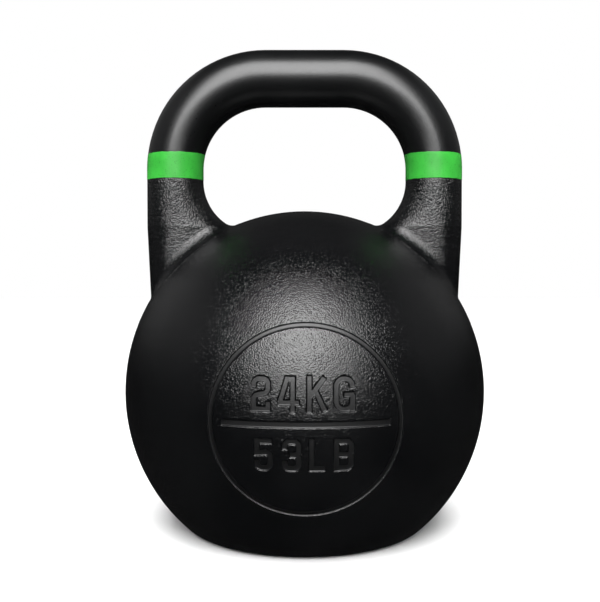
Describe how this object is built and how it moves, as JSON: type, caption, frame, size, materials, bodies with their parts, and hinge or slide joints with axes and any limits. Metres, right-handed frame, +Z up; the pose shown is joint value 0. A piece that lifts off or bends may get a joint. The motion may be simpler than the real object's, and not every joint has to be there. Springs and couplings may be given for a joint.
{
  "type": "kettlebell",
  "caption": "Competition kettlebell: hollow flat-bottomed ball with sunk weight marking, round bent handle on flared feet, a colour band on each leg and a screwed base plug.",
  "frame": {"origin": "centre of the flat base, where the kettlebell stands", "axes": "+Z up; +X across the handle from leg to leg; -Y is the marked front"},
  "size_m": [0.21, 0.21, 0.28],
  "materials": {
    "textured_coat": "cast iron under a fine-grained matt black powder coat",
    "smooth_coat": "ground smooth and coated satin black on the grip, grained on the horns",
    "weld_metal": "weld dressed to a smooth fillet under the same grained black coat",
    "band_paint": "satin green enamel",
    "plug_steel": "blackened turned steel",
    "seal_rubber": "plain matt",
    "bonded_shot": "iron shot set in resin"
  },
  "bodies": {
    "root": {"ball_shell": "textured_coat", "handle": "smooth_coat", "left_foot_weld": "weld_metal", "right_foot_weld": "weld_metal", "left_colour_band": "band_paint", "right_colour_band": "band_paint", "base_plug": "plug_steel", "plug_seal": "seal_rubber", "ballast_charge": "bonded_shot"}
  },
  "joints": []
}
